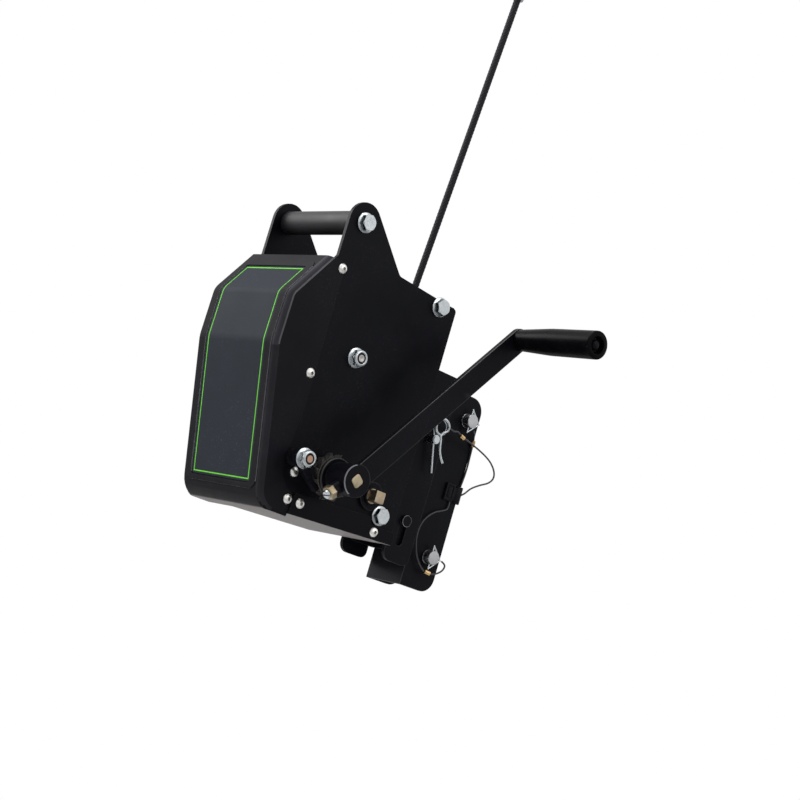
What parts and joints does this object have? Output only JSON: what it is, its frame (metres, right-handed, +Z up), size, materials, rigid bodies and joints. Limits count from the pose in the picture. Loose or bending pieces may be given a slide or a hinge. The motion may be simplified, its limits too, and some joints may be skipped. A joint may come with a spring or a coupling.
{
  "type": "rescue winch",
  "caption": "Hand-cranked rope winch with load brake on a bracket that pins to a tripod leg, with carry handle, spare drive square, rope and swivel snap hook.",
  "frame": {"origin": "middle of the leg's front face, where the leg saddle seats, level with the lower leg pin", "axes": "+X towards the crank, +Y from the winch back through the leg, +Z up along the leg"},
  "size_m": [0.3183, 0.3809, 0.7847],
  "materials": {
    "black_coat": "satin powder coat",
    "dark_steel": "rough dark steel",
    "black_moulding": "fine grain",
    "slate_label": "smooth sheet",
    "bright_zinc": "bright zinc plate",
    "plain_steel": "oiled steel",
    "yellow_zinc": "yellow zinc plate",
    "copper_end": "copper coloured plate",
    "bronze": "sintered bronze",
    "ferrule_brass": "pressed brass",
    "friction_lining": "pressed fibre",
    "black_grip": "satin moulding",
    "black_rope": "braided fibre",
    "coated_wire": "smooth coating"
  },
  "bodies": {
    "winch": {"near_plate": "black_coat", "far_plate": "black_coat", "front_cover": "black_moulding", "label_panel": "slate_label", "bottom_pan": "black_moulding", "top_guard": "black_coat", "winch_adapter": "black_coat", "handle_tube": "black_coat", "flange_bolts": "bright_zinc", "flange_nuts": "bright_zinc", "button_screws": "bright_zinc", "tie_tube": "plain_steel", "drum_axle": "bright_zinc", "pawl_stud": "copper_end", "shaft_bushes": "black_coat", "leg_saddle": "black_coat", "saddle_tongue": "black_coat", "hang_stud": "black_coat", "lanyard_anchor": "black_moulding", "rope_lead": "black_rope", "rope_run": "black_rope", "rope_socket": "bright_zinc", "lanyard_upper": "coated_wire", "lanyard_lower": "coated_wire", "lanyard_clip": "coated_wire", "lanyard_ferrules": "ferrule_brass", "pawl_spring": "bright_zinc"},
    "drum": {"drum": "plain_steel", "drum_gear": "plain_steel", "rope_winding": "black_rope", "drum_bushes": "bronze"},
    "drive": {"drive_shaft": "yellow_zinc", "drive_pinion": "plain_steel", "drive_gear": "plain_steel", "brake_carrier": "black_coat", "friction_discs": "friction_lining", "pressure_disc": "black_coat"},
    "ratchet": {"ratchet_wheel": "dark_steel"},
    "crank": {"crank_hub": "black_coat", "crank_arm": "black_coat", "plunger_body": "bright_zinc", "plunger_nut": "yellow_zinc", "grip_spindle": "bright_zinc"},
    "plunger": {"detent_ball": "bright_zinc"},
    "grip": {"grip": "black_grip"},
    "second": {"second_shaft": "yellow_zinc", "second_gear": "plain_steel"},
    "pawl": {"pawl": "dark_steel"},
    "roller": {"guide_roller": "plain_steel"},
    "upper_pin": {"upper_leg_pin": "bright_zinc"},
    "upper_ring": {"upper_pin_ring": "bright_zinc"},
    "lower_pin": {"lower_leg_pin": "bright_zinc"},
    "lower_ring": {"lower_pin_ring": "bright_zinc"},
    "lock_pin": {"lock_pin": "bright_zinc"},
    "clip": {"r_clip": "bright_zinc"},
    "hook": {"hook_swivel": "bright_zinc", "snap_hook": "bright_zinc"},
    "gate": {"hook_gate": "bright_zinc"}
  },
  "joints": [
    {"name": "drum_spin", "type": "hinge", "parent": "winch", "child": "drum", "pos_m": [0, -0.184, 0.1652], "axis": [1, 0, 0], "continuous": true, "deforming": ["rope_lead"]},
    {"name": "crank_spin", "type": "hinge", "parent": "winch", "child": "drive", "pos_m": [0, -0.184, 0.03645], "axis": [1, 0, 0], "continuous": true},
    {"name": "second_spin", "type": "hinge", "parent": "winch", "child": "second", "pos_m": [0, -0.11276, 0.03521], "axis": [1, 0, 0], "continuous": true},
    {"name": "ratchet_spin", "type": "hinge", "parent": "winch", "child": "ratchet", "pos_m": [0, -0.184, 0.03645], "axis": [1, 0, 0], "continuous": true},
    {"name": "crank_pull", "type": "slide", "parent": "drive", "child": "crank", "axis": [1, 0, 0], "range_m": [0, 0.035]},
    {"name": "plunger_press", "type": "slide", "parent": "crank", "child": "plunger", "axis": [0, -0.7254, -0.6884], "range_m": [0, 0.0015], "stiffness_N_per_m": 1500, "springref_m": -0.002},
    {"name": "grip_spin", "type": "hinge", "parent": "crank", "child": "grip", "pos_m": [0, -0.01914, 0.2452], "axis": [1, 0, 0], "continuous": true},
    {"name": "pawl_lift", "type": "hinge", "parent": "winch", "child": "pawl", "pos_m": [0, -0.2285, 0.0437], "axis": [-1, 0, 0], "range_deg": [0, 25], "stiffness_Nm_per_rad": 0.05, "springref_deg": -34.38},
    {"name": "roller_spin", "type": "hinge", "parent": "winch", "child": "roller", "pos_m": [0, -0.0926, 0.2545], "axis": [1, 0, 0], "continuous": true},
    {"name": "upper_pin_pull", "type": "slide", "parent": "winch", "child": "upper_pin", "axis": [1, 0, 0], "range_m": [0, 0.07]},
    {"name": "upper_ring_swing", "type": "hinge", "parent": "upper_pin", "child": "upper_ring", "pos_m": [0.0355, 0.025, 0.16], "axis": [0, 0, -1], "range_deg": [0, 170]},
    {"name": "lower_pin_pull", "type": "slide", "parent": "winch", "child": "lower_pin", "axis": [1, 0, 0], "range_m": [0, 0.07]},
    {"name": "lower_ring_swing", "type": "hinge", "parent": "lower_pin", "child": "lower_ring", "pos_m": [0.0355, 0.025, 0], "axis": [0, 0, -1], "range_deg": [0, 170]},
    {"name": "lock_pin_play", "type": "slide", "parent": "winch", "child": "lock_pin", "axis": [-1, 0, 0], "range_m": [0, 0.006]},
    {"name": "clip_pull", "type": "slide", "parent": "lock_pin", "child": "clip", "axis": [0, -0.2756, 0.9613], "range_m": [0, 0.045]},
    {"name": "hook_turn", "type": "hinge", "parent": "winch", "child": "hook", "pos_m": [-0.004, -0.04927, 0.645], "axis": [0, 0.0715, 0.9974], "continuous": true},
    {"name": "gate_press", "type": "hinge", "parent": "hook", "child": "gate", "pos_m": [0.0157, -0.04537, 0.69947], "axis": [0, -0.9974, 0.0715], "range_deg": [0, 35], "stiffness_Nm_per_rad": 0.05, "springref_deg": -28.65}
  ],
  "couplings": [
    {"joint": "crank_spin", "follows": "drum_spin", "ratio": -2.5517},
    {"joint": "second_spin", "follows": "drum_spin", "ratio": 3.5086}
  ]
}
